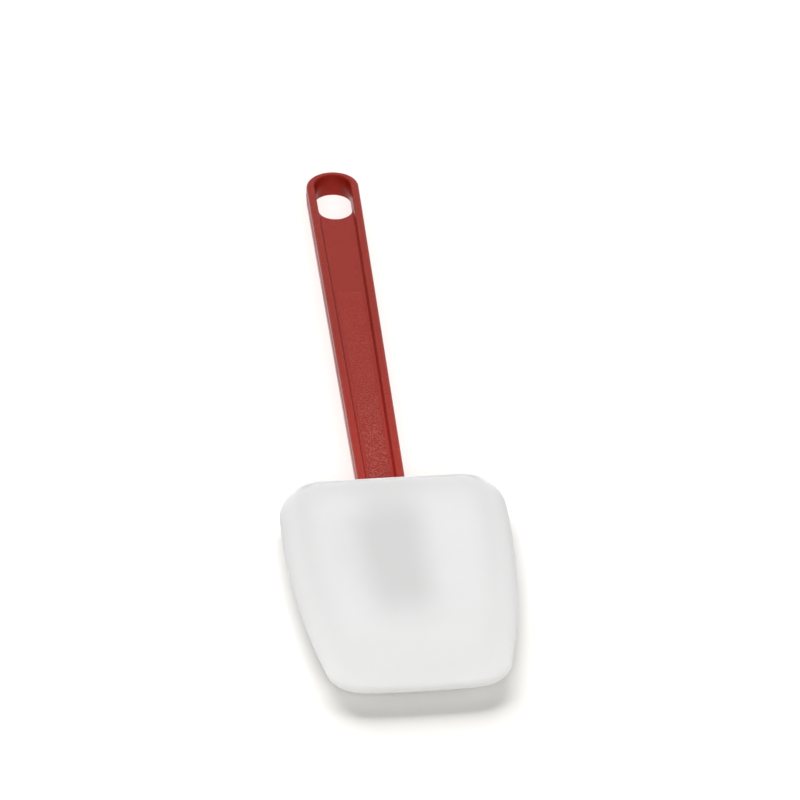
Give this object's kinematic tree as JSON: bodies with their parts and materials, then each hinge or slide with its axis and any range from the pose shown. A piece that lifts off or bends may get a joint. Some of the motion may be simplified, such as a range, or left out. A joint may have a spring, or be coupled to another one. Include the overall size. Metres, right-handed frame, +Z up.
{
  "type": "kitchen scraper",
  "caption": "Small kitchen scraper: a wide soft silicone blade that thins to its scraping edge, on a rimmed rigid handle with a round butt and a hang hole.",
  "frame": {"origin": "middle of the bounding box in X and Y, on the table that the scraper lies on", "axes": "+Y along the handle towards the butt with the hang hole, -Y towards the scraping edge, +X across the blade, +Z up from the table"},
  "size_m": [0.06, 0.241, 0.0085],
  "materials": {
    "red_nylon": "satin moulded glass-filled nylon, grained pad on the web",
    "white_silicone": "smooth satin milky silicone"
  },
  "bodies": {
    "root": {"handle": "red_nylon", "blade": "white_silicone"}
  },
  "joints": []
}
